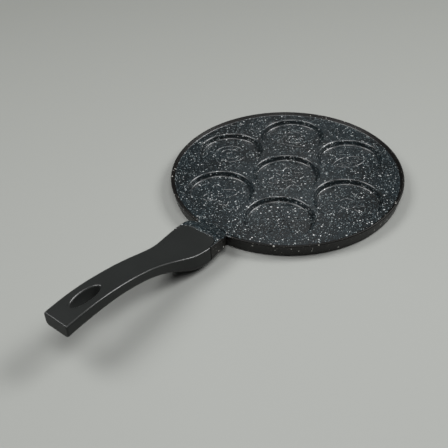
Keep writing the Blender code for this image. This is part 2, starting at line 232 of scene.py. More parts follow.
# %% Turn the dish
def wall_radius(level):
    """Radius of the slanted outer wall at a height."""
    return RIM_RADIUS - WALL_DRAFT * (PAN_HEIGHT - level) / PAN_HEIGHT


def lip_top_radius():
    """Radius at which the lip's slanted inner face has turned into its flat top."""
    lean = math.radians(LIP_LEAN_ANGLE)
    both = LIP_FOOT_FILLET + LIP_EDGE_RADIUS
    straight_height = LIP_DEPTH - both * (1.0 - math.sin(lean))
    return LIP_INNER_RADIUS - LIP_FOOT_FILLET + both * math.cos(lean) + straight_height * math.tan(lean)


def dish_profile():
    """Half section of the dish, from the foot of the lip round to the underside."""
    foot = (LIP_INNER_RADIUS - LIP_FOOT_FILLET, PLATE_LEVEL + LIP_FOOT_FILLET)
    profile = arc(foot, LIP_FOOT_FILLET, -90.0, -LIP_LEAN_ANGLE, steps=6)
    lip_corner = (lip_top_radius(), PAN_HEIGHT - LIP_EDGE_RADIUS)
    profile += arc(lip_corner, LIP_EDGE_RADIUS, 180.0 - LIP_LEAN_ANGLE, 90.0, steps=5)
    rim_corner = (RIM_RADIUS - RIM_EDGE_RADIUS, PAN_HEIGHT - RIM_EDGE_RADIUS)
    profile += arc(rim_corner, RIM_EDGE_RADIUS, 90.0, 0.0, steps=7)
    skirt_level = SKIRT_LIFT + SKIRT_EDGE_RADIUS
    skirt_corner = (wall_radius(skirt_level) - SKIRT_EDGE_RADIUS, skirt_level)
    profile += arc(skirt_corner, SKIRT_EDGE_RADIUS, 0.0, -90.0, steps=6)
    inner_radius = wall_radius(SKIRT_LIFT) - SKIRT_THICKNESS
    profile.append((inner_radius, SKIRT_LIFT))
    web_corner = (inner_radius - WEB_FILLET, WEB_LEVEL - WEB_FILLET)
    profile += arc(web_corner, WEB_FILLET, 0.0, 90.0, steps=5)
    return profile


pan = turn("pan_casting", dish_profile(), RIM_STEPS)
report(pan)


# %% [markdown]
# Under each well the casting has a flat round foot, which stands on the hob and
# spreads the heat. All seven are alike, so one is turned and copied to each
# place. The lands, the flat widths between wells and between wells and lip, fix
# the ring: from the pan's centre to the lip there are a half well, a land, a
# whole well and one more land.

# %% Add a foot under each well
WELL_COUNT = 6
FIRST_WELL_ANGLE = 30.0
LAND = 11.9
RING_RADIUS = (LIP_INNER_RADIUS - LAND / 2) / 1.5
WELL_RADIUS = (RING_RADIUS - LAND) / 2
WELL_DEPTH = 6.9
WELL_FLOOR = PLATE_LEVEL - WELL_DEPTH
WELL_STEPS = 160
FOOT_WALL = 3.4
FOOT_EDGE_RADIUS = 1.0


def well_centres():
    """The middle well, then the ring of six; the handle lies between two of them."""
    centres = [(0.0, 0.0, 0.0)]
    for index in range(WELL_COUNT):
        angle = math.radians(FIRST_WELL_ANGLE + index * 360.0 / WELL_COUNT)
        centres.append((*polar(RING_RADIUS, angle), 0.0))
    return centres


def copies_at_wells(pattern):
    """Copy a shape to every well, each copy with its own mesh, and join them."""
    copies = []
    for centre in well_centres():
        choose(pattern)
        bpy.ops.object.duplicate(linked=False)
        copies.append(place_at(bpy.context.object, centre))
    bpy.data.objects.remove(pattern, do_unlink=True)
    return join_all(copies)


def foot_profile():
    """Half section of one foot, up into the plate that carries it."""
    radius = WELL_RADIUS + FOOT_WALL
    corner = (radius - FOOT_EDGE_RADIUS, FOOT_EDGE_RADIUS)
    profile = arc(corner, FOOT_EDGE_RADIUS, -90.0, 0.0, steps=4)
    profile.append((radius, (WEB_LEVEL + PLATE_LEVEL) / 2))
    return profile


combine(pan, copies_at_wells(turn("feet", foot_profile(), WELL_STEPS)), "UNION")
print("ring radius", round(RING_RADIUS, 1), "well radius", round(WELL_RADIUS, 1))
report(pan)


# %% [markdown]
# The neck and the handle share one outline: seen from above, from the side and
# from below they run into each other. That outline is read from the measured
# model by cutting it with upright planes. The model's flat facets are six
# millimetres long, so the values are taken closer together and averaged with
# their neighbours, which rounds the facets off and moves nothing by more than a
# tenth of a millimetre.

# %% Read the outline of the neck and the handle
OUTLINE_START = 133.5
SLICE_SPACING = 1.5
END_RADIUS = 1.6
END_MARGIN = 0.2
SMOOTHING_ROUNDS = 10
HANDLE_END_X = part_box("handle_grip")[1].x / MM


def measured_edges():
    """End points of every edge of the measured neck and handle, in millimetres."""
    pairs = []
    for node in ("pan_body", "handle_grip"):
        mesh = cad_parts[node].data
        for edge in mesh.edges:
            start, end = (mesh.vertices[index].co / MM for index in edge.vertices)
            if max(start.x, end.x) > OUTLINE_START:
                pairs.append((start, end))
    return pairs


def slice_sizes(pairs, x):
    """Half width, top and bottom of the measured model where an upright plane cuts it."""
    points = []
    for start, end in pairs:
        if (start.x - x) * (end.x - x) < 0.0:
            points.append(start.lerp(end, (x - start.x) / (end.x - start.x)))
    heights = [point.z for point in points]
    return [max(point.y for point in points), max(heights), min(heights)]


def averaged(rows):
    """Average each row with its neighbours a few times, and keep the two end rows."""
    for _ in range(SMOOTHING_ROUNDS):
        middle = [
            [(a + 2.0 * b + c) / 4.0 for a, b, c in zip(before, row, after)]
            for before, row, after in zip(rows, rows[1:], rows[2:])
        ]
        rows = [rows[0]] + middle + [rows[-1]]
    return rows


straight_end = HANDLE_END_X - END_RADIUS - END_MARGIN
slice_span = straight_end - OUTLINE_START
slice_count = round(slice_span / SLICE_SPACING)
slice_places = [OUTLINE_START + slice_span * index / slice_count for index in range(slice_count + 1)]
edge_pairs = measured_edges()
slice_rows = averaged([slice_sizes(edge_pairs, x) for x in slice_places])


def outline_at(x):
    """Half width, top and bottom at a distance from the pan's centre, between two slices."""
    place = (x - slice_places[0]) / (slice_places[1] - slice_places[0])
    index = min(max(int(place), 0), len(slice_rows) - 2)
    share = place - index
    return [a + (b - a) * share for a, b in zip(slice_rows[index], slice_rows[index + 1])]


for x in (OUTLINE_START, SHOULDER_X, straight_end):
    print("outline at", round(x, 1), [round(value, 2) for value in outline_at(x)])


# %% [markdown]
# The neck and the handle are drawn as a modeller would draw a long swelling bar:
# start with one flat rectangle, extrude it along, and at each station resize it
# to the outline. The long edges are bevelled afterwards, the top ones narrowly
# and the bottom ones widely, which gives the real rounded section. Where the
# handle's tongue lies in the neck, the top is flat, so no station is needed
# there, and the seam's small chamfer gets clean faces to run over.

# %% Helpers for long shapes
def extrude_through(sections):
    """In edit mode: extrude a face of unit size through sections of (centre, sizes)."""
    old_centre, old_sizes = sections[0][0], (1.0, 1.0, 1.0)
    for number, (centre, sizes) in enumerate(sections):
        if number:
            step = (centre - old_centre) * MM
            bpy.ops.mesh.extrude_region_move(TRANSFORM_OT_translate={"value": step})
        change = [new / old for new, old in zip(sizes, old_sizes)]
        bpy.ops.transform.resize(value=change, center_override=centre * MM)
        old_centre, old_sizes = centre, sizes
    face_outwards()


def loft_box(name, stations):
    """Extrude a rectangle through stations of (x, half width, top, bottom)."""
    sections = [
        (Vector((x, 0.0, (top + bottom) / 2)), (1.0, 2.0 * half_width, top - bottom))
        for x, half_width, top, bottom in stations
    ]
    place = {"location": sections[0][0] * MM, "rotation": (0.0, math.radians(90.0), 0.0)}
    piece = add_shape(bpy.ops.mesh.primitive_plane_add, name, size=MM, **place)
    bpy.ops.object.mode_set(mode="EDIT")
    extrude_through(sections)
    return piece


# %% [markdown]
# To round an edge, it has to be picked first. A loop looks at every edge and
# selects those that pass a test on their two ends. Long edges near the top of the
# outline are told from those near its bottom by how high they are.

# %% Helpers to round edges
BOTTOM_EDGE_RADIUS = 5.0
BOTTOM_SEGMENTS = 8
TOP_SEGMENTS = 6
LONG_EDGE = 0.2
BOTTOM_SHARE = 0.3
TOP_SHARE = 0.9


def bevel_edges(piece, wanted, radius, segments):
    """Round the edges that a test on their two end points picks."""
    choose(piece)
    bpy.ops.object.mode_set(mode="EDIT")
    bpy.ops.mesh.select_mode(type="EDGE")
    bpy.ops.mesh.select_all(action="DESELECT")
    shape = bmesh.from_edit_mesh(piece.data)
    picked = 0
    for edge in shape.edges:
        start, end = (vert.co / MM for vert in edge.verts)
        if wanted(start, end):
            edge.select_set(True)
            picked += 1
    bmesh.update_edit_mesh(piece.data)
    bpy.ops.mesh.bevel(offset=radius * MM, segments=segments, affect="EDGES", clamp_overlap=False)
    bpy.ops.mesh.select_mode(type="VERT")
    bpy.ops.object.mode_set(mode="OBJECT")
    print("rounded", picked, "edges of", piece.name, "by", radius, "mm")


def is_long(start, end):
    """True for an edge that runs along the handle."""
    return abs(start.x - end.x) > LONG_EDGE


def round_long_edges(piece, top_radius):
    """Narrow fillets along the top edges and wide ones along the bottom edges."""

    def height_share(point):
        _, top, bottom = outline_at(point.x)
        return (point.z - bottom) / (top - bottom)

    def along_bottom(start, end):
        return is_long(start, end) and max(height_share(start), height_share(end)) < BOTTOM_SHARE

    def along_top(start, end):
        return is_long(start, end) and min(height_share(start), height_share(end)) > TOP_SHARE

    bevel_edges(piece, along_bottom, BOTTOM_EDGE_RADIUS, BOTTOM_SEGMENTS)
    bevel_edges(piece, along_top, top_radius, TOP_SEGMENTS)


# %% [markdown]
# The neck begins inside the lip. There it is only a wide, low ramp that swells
# out of the plate, so that no step or line crosses the neck's mouth. The ramp's
# corners end inside the metal of the lip. Past the rim the neck is a bar of its
# own, and one union joins both to the dish.

# %% Draw the neck and its ramp
RAMP_START = 120.4
RAMP_CURVE = 0.034
RAMP_PLACES = (116.0, 118.0, 120.0, 121.5, 123.0, 124.5, 126.0, 127.5, 128.7, 129.9)
RAMP_START_HALF_WIDTH = 36.0
RAMP_END_HALF_WIDTH = 22.0
RAMP_BELOW_RIM = 0.1
RAMP_ABOVE_WEB = 0.5
NECK_START = 128.0
NECK_EDGE_RADIUS = 1.5
SLICE_MARGIN = 1.0
TONGUE_LENGTH = 13.8
TONGUE_FRONT = SHOULDER_X - TONGUE_LENGTH


def ramp_station(x):
    """One station of the ramp: it narrows towards the neck as it rises, slowly at first."""
    share = (x - RAMP_PLACES[0]) / (RAMP_PLACES[-1] - RAMP_PLACES[0])
    half_width = RAMP_START_HALF_WIDTH + (RAMP_END_HALF_WIDTH - RAMP_START_HALF_WIDTH) * share
    rise = RAMP_CURVE * (x - RAMP_START) * abs(x - RAMP_START)
    top = min(PLATE_LEVEL + rise, PAN_HEIGHT - RAMP_BELOW_RIM)
    return (x, half_width, top, WEB_LEVEL + RAMP_ABOVE_WEB)


slices_ahead = math.ceil((OUTLINE_START - NECK_START) / SLICE_SPACING)
neck_places = [NECK_START + SLICE_SPACING * index for index in range(slices_ahead)]
neck_places += [x for x in slice_places if x < TONGUE_FRONT - SLICE_MARGIN] + [SHOULDER_X]
neck = loft_box("neck", [(x, *outline_at(x)) for x in neck_places])
round_long_edges(neck, NECK_EDGE_RADIUS)
report(neck)
combine(pan, loft_box("ramp", [ramp_station(x) for x in RAMP_PLACES]), "UNION")
combine(pan, neck, "UNION")
report(pan)


# %% [markdown]
# Seven wells are cut into the plate. The cutter is one turned shape: a flat
# floor, a wide fillet, a short wall that leans outwards so that the casting
# leaves its mould, and a rounded mouth that flares into the plate. Drawing the
# rounding on the cutter, and not as a bevel on the finished cut, keeps it even
# all the way round.

# %% Make the wells' cutter
WELL_FLOOR_FILLET = 3.0
MOUTH_RADIUS = 3.0
MOUTH_END_ANGLE = 102.0
WALL_LEAN_ANGLE = 8.0
FOOT_LEAN = 1.0
MOUTH_LEAN = 1.2
MOUTH_REACH = 0.6
CUT_PAST = 10.0


def well_profile():
    """Half section of the well cutter, from the floor up past the plate."""
    floor_corner = (WELL_RADIUS + FOOT_LEAN - WELL_FLOOR_FILLET, WELL_FLOOR + WELL_FLOOR_FILLET)
    profile = arc(floor_corner, WELL_FLOOR_FILLET, -90.0, -WALL_LEAN_ANGLE, steps=7)
    mouth_corner = (WELL_RADIUS + MOUTH_LEAN + MOUTH_RADIUS, PLATE_LEVEL - MOUTH_RADIUS)
    mouth = arc(mouth_corner, MOUTH_RADIUS, 180.0 - WALL_LEAN_ANGLE, MOUTH_END_ANGLE, steps=7)
    out, up = polar(MOUTH_REACH, math.radians(MOUTH_END_ANGLE - 90.0))
    past = (mouth[-1][0] + out, mouth[-1][1] + up)
    return profile + mouth + [past, (past[0], PLATE_LEVEL + CUT_PAST)]


well_cutter = copies_at_wells(turn("well_cutter", well_profile(), WELL_STEPS))
report(well_cutter)


# %% [markdown]
# Each well prints its own picture on a pancake. The pictures here are plain ones:
# a rosette, a star, a sun, a leaf, a heart, a spiral and a clover. Each is a few
# lines about the well's centre, and each line is a row of points in millimetres
# that a formula gives.

# %% Draw the pictures' lines
STAR_POINTS = 5
SPIRAL_STEPS = 32


def wavy_ring(radius, steps, swing=0.0, waves=0):
    """A closed line that swings in and out in waves; with no swing it is a circle."""
    points = []
    for step in range(steps + 1):
        angle = 360.0 * step / steps
        reach = radius + swing * math.cos(math.radians(waves * angle))
        points.append(polar(reach, math.radians(angle)))
    return points


def rays(count, inner, outer):
    """Short straight lines that point away from the middle."""
    lines = []
    for index in range(count):
        angle = math.radians(360.0 * index / count)
        lines.append([polar(inner, angle), polar(outer, angle)])
    return lines


def star(outer, inner):
    """A five-pointed star."""
    points = []
    for index in range(2 * STAR_POINTS + 1):
        reach = inner if index % 2 else outer
        points.append(polar(reach, math.radians(180.0 / STAR_POINTS * index)))
    return points


def heart(size):
    """A heart whose tip points to -x: two straight sides and two round lobes."""
    lobe_radius, lobe_x, lobe_y = 0.5 * size, 0.25 * size, 0.42 * size
    notch_angle = -math.degrees(math.asin(lobe_y / lobe_radius))
    side_angle = 122.0
    lobe = arc((lobe_x, lobe_y), lobe_radius, notch_angle, side_angle, steps=10)
    return [(-size, 0.0)] + [(x, -y) for x, y in lobe[::-1]] + lobe[1:] + [(-size, 0.0)]


def leaf():
    """A pointed leaf with a middle rib and side ribs that stop short of both."""
    half_length, half_width, steps = 22.0, 10.5, 24
    rib_start, rib_end = -18.0, 17.5
    side_rib_start, side_rib_end, side_rib_slant = 1.8, 6.0, 4.5
    upper = []
    for step in range(steps + 1):
        along = -1.0 + 2 * step / steps
        upper.append((half_length * along, half_width * (1.0 - along**2)))
    lines = [upper, [(x, -y) for x, y in upper[1:-1]], [(rib_start, 0.0), (rib_end, 0.0)]]
    for x in (-11.0, -4.0, 3.0):
        for side in (-1, 1):
            lines.append([(x, side * side_rib_start), (x + side_rib_slant, side * side_rib_end)])
    return lines


def spiral(inner, outer, turns):
    """A line that winds outwards at a steady rate."""
    points = []
    for step in range(round(turns * SPIRAL_STEPS) + 1):
        share = step / (turns * SPIRAL_STEPS)
        points.append(polar(inner + (outer - inner) * share, math.tau * turns * share))
    return points


PICTURES = (
    [wavy_ring(18.5, 96, swing=3.5, waves=6), wavy_ring(5.5, 32)] + rays(6, inner=8.5, outer=15.0),
    [star(22.0, 9.5), star(9.0, 4.0)],
    [wavy_ring(9.0, 40)] + rays(10, inner=12.5, outer=20.0),
    leaf(),
    [heart(19.0), heart(9.0)],
    [spiral(3.0, 21.5, turns=2.6)],
    [wavy_ring(15.5, 96, swing=4.5, waves=4), wavy_ring(3.0, 24)],
)
print("lines in each picture:", [len(picture) for picture in PICTURES])


# %% [markdown]
# A line becomes solid when its points are turned into a curve with a round
# thickness. It is sunk so that only its upper part stands out of the floor, as a
# cast line does. In a real mould the lines are engraved into the tool that forms
# the well. So they are here: they are cut into the cutter, and the cutter then
# cuts the pan.

# %% Engrave the pictures and cut the wells
LINE_RADIUS = 0.9
LINE_SINK = 0.25
LINE_ROUNDNESS = 3
LINE_POINT_GAP = 0.02
PICTURE_TURN = 145.0


def raised_line(points, centre):
    """One raised line on a well's floor, given by points about the well's centre."""
    turn_to = math.radians(PICTURE_TURN)
    placed = []
    for x, y in points:
        turned_x = x * math.cos(turn_to) - y * math.sin(turn_to)
        turned_y = x * math.sin(turn_to) + y * math.cos(turn_to)
        placed.append((centre[0] + turned_x, centre[1] + turned_y, WELL_FLOOR - LINE_SINK))
    line = draw_line("raised_line", placed)
    bpy.ops.mesh.select_all(action="SELECT")
    bpy.ops.mesh.remove_doubles(threshold=LINE_POINT_GAP * MM)
    bpy.ops.object.mode_set(mode="OBJECT")
    bpy.ops.object.convert(target="CURVE")
    line.data.bevel_depth = LINE_RADIUS * MM
    line.data.bevel_resolution = LINE_ROUNDNESS
    line.data.use_fill_caps = True
    bpy.ops.object.convert(target="MESH")
    bpy.ops.object.mode_set(mode="EDIT")
    close_and_face_outwards()
    return bpy.context.object


raised = []
for picture, centre in zip(PICTURES, well_centres()):
    raised += [raised_line(points, centre) for points in picture]
engraving = join_all(raised)
report(engraving)
combine(well_cutter, engraving, "DIFFERENCE")
report(well_cutter)
combine(pan, well_cutter, "DIFFERENCE")
report(pan)


# %% [markdown]
# The handle's tongue lies in a pocket in the neck, between two short horns. The
# pocket is a block whose two front corners are rounded. A chamfer just under a
# millimetre wide runs round its mouth: such an edge is what draws a seam as a
# fine line of light and dark. Behind the horns the handle stands a little clear
# of the casting, which draws a dark line down each side. The bore in front takes
# the screw.

# %% Cut the pocket for the handle
HORN_THICKNESS = 2.5
POCKET_HALF_WIDTH = outline_at(SHOULDER_X)[0] - HORN_THICKNESS
POCKET_CORNER_RADIUS = 9.0
POCKET_CORNER_SEGMENTS = 12
SEAM_CHAMFER = 0.8
SEAM_NEAR = 0.03
SEAM_LARGEST_RISE = 0.5
UPRIGHT_EDGE = 1.0
SCREW_CLEARANCE = 0.3
screw_low, screw_high = (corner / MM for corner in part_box("handle_screw"))
SCREW_LEVEL = (screw_low.z + screw_high.z) / 2
SHANK_RADIUS = 3.0
SHAFT_STEPS = 64
BORE_PAST_SCREW = 1.5


def block(name, low, high):
    """A plain box between two corners, to cut or trim with."""
    low, high = Vector(low), Vector(high)
    place = {"location": (low + high) / 2 * MM, "scale": (high - low) * MM}
    return add_shape(bpy.ops.mesh.primitive_cube_add, name, size=1.0, **place)


def plan_distance(point, clearance):
    """How far a point is outside the tongue's outline, seen from above."""
    half_width = POCKET_HALF_WIDTH - clearance
    radius = POCKET_CORNER_RADIUS - clearance
    corner_x = TONGUE_FRONT + POCKET_CORNER_RADIUS
    corner_y = half_width - radius
    across, along = abs(point.y) - corner_y, corner_x - point.x
    if across > 0.0 and along > 0.0:
        return math.hypot(across, along) - radius
    return max(across, along) - radius


def tongue_block(name, clearance, rear):
    """The tongue's upright block, with its two front corners rounded."""
    half_width = POCKET_HALF_WIDTH - clearance
    front = TONGUE_FRONT + clearance
    made = block(name, (front, -half_width, -CUT_PAST), (rear, half_width, PAN_HEIGHT * 2))

    def front_corner(start, end):
        at_front = max(start.x, end.x) < front + SEAM_NEAR
        return at_front and abs(start.z - end.z) > UPRIGHT_EDGE

    bevel_edges(made, front_corner, POCKET_CORNER_RADIUS - clearance, POCKET_CORNER_SEGMENTS)
    return made


def seam_test(clearance):
    """Test for the edges along the top of the tongue's outline."""

    def on_seam(point):
        near_top = point.z > outline_at(point.x)[1] - NECK_EDGE_RADIUS
        return near_top and abs(plan_distance(point, clearance)) < SEAM_NEAR

    def follows_seam(start, end):
        on_it = on_seam(start) and on_seam(end) and on_seam((start + end) / 2)
        return on_it and abs(start.z - end.z) < SEAM_LARGEST_RISE

    return follows_seam


def shaft(name, radius, start, end):
    """A round bar along the handle, at the screw's height."""
    made = turn(name, [(radius, 0.0), (radius, end - start)], SHAFT_STEPS)
    return place_at(made, (start, 0.0, SCREW_LEVEL), quarter_turn=True)


combine(pan, tongue_block("pocket", 0.0, SHOULDER_X + CUT_PAST), "DIFFERENCE")
bevel_edges(pan, seam_test(0.0), SEAM_CHAMFER, segments=1)
bore_radius = SHANK_RADIUS + SCREW_CLEARANCE
bore = shaft("bore", bore_radius, screw_low.x - BORE_PAST_SCREW, TONGUE_FRONT + CUT_PAST)
combine(pan, bore, "DIFFERENCE")
report(pan)


# %% [markdown]
# The handle is one moulding. It is drawn through the same outline, its end is
# rounded, and it is trimmed to the tongue's plan with the seam's clearance. The
# screw's hole runs in from the front, and a wider one for its head and for a
# screwdriver opens behind the belly.

# %% Draw the handle
HANDLE_EDGE_RADIUS = 2.0
SEAM_GAP = 0.3
SHOULDER_GAP = 1.0
SEAT_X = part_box("flat_washer")[0].x / MM - SEAM_GAP
HEAD_HOLE_RADIUS = 6.6
HEAD_HOLE_LENGTH = 50.0
SCREW_HOLE_OVERLAP = 1.0
FIRST_SLICE_PAST_SHOULDER = 1.2
END_FACE_NEAR = 0.05


def is_round_the_end(start, end):
    """True for an edge of the handle's end face."""
    return min(start.x, end.x) > HANDLE_END_X - END_FACE_NEAR


handle_places = [TONGUE_FRONT - SLICE_MARGIN]
handle_places += [x for x in slice_places if x > SHOULDER_X + FIRST_SLICE_PAST_SHOULDER] + [HANDLE_END_X]
handle = loft_box("moulded_handle", [(x, *outline_at(x)) for x in handle_places])
round_long_edges(handle, HANDLE_EDGE_RADIUS)
bevel_edges(handle, is_round_the_end, END_RADIUS, segments=5)
report(handle)

plan = tongue_block("plan", SEAM_GAP, SHOULDER_X + CUT_PAST)
rear_low = (SHOULDER_X + SHOULDER_GAP, -2 * POCKET_HALF_WIDTH, -2 * CUT_PAST)
rear_high = (HANDLE_END_X + CUT_PAST, 2 * POCKET_HALF_WIDTH, cad_high.z / MM + CUT_PAST)
combine(plan, block("rear", rear_low, rear_high), "UNION")
combine(handle, plan, "INTERSECT")
bevel_edges(handle, seam_test(SEAM_GAP), SEAM_CHAMFER, segments=2)
hole_ends = (TONGUE_FRONT - SCREW_HOLE_OVERLAP, SEAT_X + SCREW_HOLE_OVERLAP)
combine(handle, shaft("screw_hole", bore_radius, *hole_ends), "DIFFERENCE")
combine(handle, shaft("head_hole", HEAD_HOLE_RADIUS, SEAT_X, SEAT_X + HEAD_HOLE_LENGTH), "DIFFERENCE")
report(handle)


# %% [markdown]
# An oval hole near the free end lets the pan hang on a hook. Its upper mouth is
# widely rounded and flows into the top of the grip, and the hole narrows on its
# way down. The handle's top and bottom curve along the hole, so a bevel of even
# width is again drawn on the cutter: rings of an oval are extruded upwards and
# resized, and each ring is then bent to the handle's own curve.

# %% Cut the hanging hole
HOLE_FROM_END = 35.1
HOLE_HALF_LENGTH = 16.2
HOLE_HALF_WIDTH = 5.9
HOLE_TAPER = 2.3
UPPER_MOUTH_RADIUS = 2.8
LOWER_MOUTH_RADIUS = 0.8
MOUTH_LAST_ANGLE = 97.0
MOUTH_END_REACH = 1.0
HOLE_STEPS = 96


def mouth_rings(level, side, grow, radius):
    """Heights and widenings of a rounded mouth; side is 1 at the top and -1 at the bottom."""
    rings = []
    for out, up in arc((radius, -radius), radius, 180.0, MOUTH_LAST_ANGLE, steps=10):
        rings.append((level + side * up, grow + out))
    out, up = polar(MOUTH_END_REACH, math.radians(MOUTH_LAST_ANGLE - 90.0))
    wide = rings[-1][1] + out
    rings.append((rings[-1][0] + side * up, wide))
    rings.append((level + side * CUT_PAST, wide))
    return rings


def hole_cutter():
    """An oval tube with flared mouths that follow the handle's top and bottom."""
    centre_x = HANDLE_END_X - HOLE_FROM_END
    _, top, bottom = outline_at(centre_x)
    rings = mouth_rings(bottom, -1, -HOLE_TAPER, LOWER_MOUTH_RADIUS)[::-1]
    rings += mouth_rings(top, 1, 0.0, UPPER_MOUTH_RADIUS)
    sections = [
        (Vector((centre_x, 0.0, level)), (HOLE_HALF_LENGTH + grow, HOLE_HALF_WIDTH + grow, 1.0))
        for level, grow in rings
    ]
    ring = {"vertices": HOLE_STEPS, "radius": MM, "fill_type": "NGON", "location": sections[0][0] * MM}
    made = add_shape(bpy.ops.mesh.primitive_circle_add, "hole_cutter", **ring)
    bpy.ops.object.mode_set(mode="EDIT")
    extrude_through(sections)
    for vert in made.data.vertices:
        _, top_here, bottom_here = outline_at(vert.co.x / MM)
        upper = vert.co.z / MM > (top + bottom) / 2
        vert.co.z += (top_here - top if upper else bottom_here - bottom) * MM
    return made


combine(handle, hole_cutter(), "DIFFERENCE")
report(handle)


# %% [markdown]
# Shading comes last. Faces that meet at a small angle are shaded as one curve,
# and sharper edges stay crisp. The large flat faces then pull the shading normals
# beside them flat, with a Weighted Normal modifier, so that no fillet throws a
# false gradient over the plate.

# %% Shade the pieces
SMOOTH_ANGLE = 28.0


def shade(piece):
    """Smooth shading by angle, with the large faces in charge."""
    choose(piece)
    bpy.ops.object.shade_smooth_by_angle(angle=math.radians(SMOOTH_ANGLE))
    bpy.ops.object.modifier_add(type="WEIGHTED_NORMAL")
    step = piece.modifiers[-1]
    step.keep_sharp = True
    bpy.ops.object.modifier_apply(modifier=step.name)


shade(pan)
shade(handle)
print("edges over", SMOOTH_ANGLE, "degrees stay sharp")


# %% [markdown]
# Every finish below is a small network of nodes. Colours are written as they look
# on a screen, in sRGB hex, and one function turns them into the linear values
# that Blender wants. One more adds a node with its settings and its links. A node
# that is given as an input stands for its first output in use. The sockets of a
# Mix node share their names, so the ones for colours are told by their numbers.
# Every pattern is given by its real size, on the piece's own Object coordinates.

# %% Colours and nodes
MIX_FACTOR = 0
MIX_A = 6
MIX_B = 7


def linear(hex_colour):
    """Turn an sRGB hex colour into the linear values that Blender wants."""
    channels = [int(hex_colour[index:index + 2], 16) / 255 for index in (1, 3, 5)]
    return [c / 12.92 if c <= 0.04045 else ((c + 0.055) / 1.055) ** 2.4 for c in channels] + [1.0]


def feed(node, inputs):
    """Set or link the sockets of a node."""
    for name, value in inputs.items():
        if isinstance(value, bpy.types.Node):
            value = next(socket for socket in value.outputs if socket.enabled)
        if isinstance(value, bpy.types.NodeSocket):
            node.id_data.links.new(value, node.inputs[name])
        else:
            node.inputs[name].default_value = value


def add_node(tree, kind, inputs=None, **options):
    """Add a shader node with its options, its values and its links."""
    made = tree.nodes.new("ShaderNode" + kind)
    for option, value in options.items():
        setattr(made, option, value)
    feed(made, inputs or {})
    return made


def new_material(name, values):
    """A material with these plain values; returns it, its tree, its shader and the place on a piece."""
    made = bpy.data.materials.new(name)
    made.use_nodes = True
    tree = made.node_tree
    shader = tree.nodes["Principled BSDF"]
    feed(shader, values)
    return made, tree, shader, add_node(tree, "TexCoord").outputs["Object"]


def sized(place, size, **more):
    """Inputs of a pattern on this place whose cells are this many millimetres wide."""
    return {"Vector": place, "Scale": 1.0 / (size * MM), **more}


# %% [markdown]
# The pan's finish is a sprayed non-stick coating with pale mineral flecks in it,
# baked on in an oven. The inside coat is a dark slate fluoropolymer with a satin
# sheen. The outside coat is a duller, brownish black enamel with the same flecks.
# So one recipe makes both. It starts with the coat between the flecks, which is
# never quite even: soft clouds as wide as a well, and a fine mottle.

# %% Coats: the uneven ground
CLOUD_SIZE = 48.0
MOTTLE_SIZE = 2.2
DARKEST_SUM = 0.85
PALEST_SUM = 1.2


def uneven_ground(tree, place, darkest, palest):
    """Colour of the coat between its flecks, and the fine mottle that its sheen follows."""
    cloud = add_node(tree, "TexNoise", sized(place, CLOUD_SIZE, Detail=2.0, Roughness=0.5))
    mottle = add_node(tree, "TexNoise", sized(place, MOTTLE_SIZE, Detail=3.0, Roughness=0.6))
    both = add_node(tree, "Math", {0: cloud, 1: mottle}, operation="ADD")
    share = add_node(tree, "MapRange", {"Value": both, "From Min": DARKEST_SUM, "From Max": PALEST_SUM})
    colours = {MIX_FACTOR: share, MIX_A: linear(darkest), MIX_B: linear(palest)}
    return add_node(tree, "Mix", colours, data_type="RGBA"), mottle


# %% [markdown]
# The flecks come in three sizes, from a dust that is almost too fine to see up to
# sparse white grains of a millimetre or two. The real dust is finer than a tenth
# of a millimetre; it is drawn up to a millimetre wide so that it shows at all.
# Each size is a layer of Voronoi cells in space. A cell's own random value sets
# how wide its fleck is, or that it has none. The fleck's half width, less the
# distance from the cell's point, is positive inside the fleck, and a narrow
# smooth step turns that into a mask. A little noise is added to the place first,
# so that no fleck is a perfect disc. The outside coat was sprayed more sparingly:
# most of its dust sank into the black, and only a large grain shows here and
# there.

# %% Coats: the flecks
STIR_SIZE = 1.6
STIR_REACH = 0.5
INSIDE_FLECKS = (
    # cell in mm, widest half width in mm, share of empty cells, opacity, darkest and palest colour
    (1.2, 0.55, 0.10, 0.85, "#3b4e56", "#849aa3"),
    (1.75, 0.75, 0.22, 0.90, "#8b999c", "#ccd8d9"),
    (3.2, 1.00, 0.25, 1.00, "#c9d0d0", "#f6f8f8"),
)
OUTSIDE_FLECKS = (
    (1.5, 0.55, 0.20, 0.50, "#38342f", "#6f6a62"),
    (2.9, 0.70, 0.25, 0.80, "#55514a", "#a9a69e"),
    (4.8, 1.15, 0.20, 1.00, "#aaa8a1", "#f0efea"),
)
FLECK_EDGE = 0.22


def stirred(tree, place):
    """The place on the surface, shifted a little by noise about its middle value."""
    noise = add_node(tree, "TexNoise", sized(place, STIR_SIZE, Detail=1.0))
    less_middle = {0: noise.outputs["Color"], 1: (-0.5, -0.5, -0.5)}
    centred = add_node(tree, "VectorMath", less_middle, operation="ADD")
    scaled = {0: centred, "Scale": STIR_REACH * 2 * MM}
    shift = add_node(tree, "VectorMath", scaled, operation="SCALE")
    return add_node(tree, "VectorMath", {0: place, 1: shift}, operation="ADD")


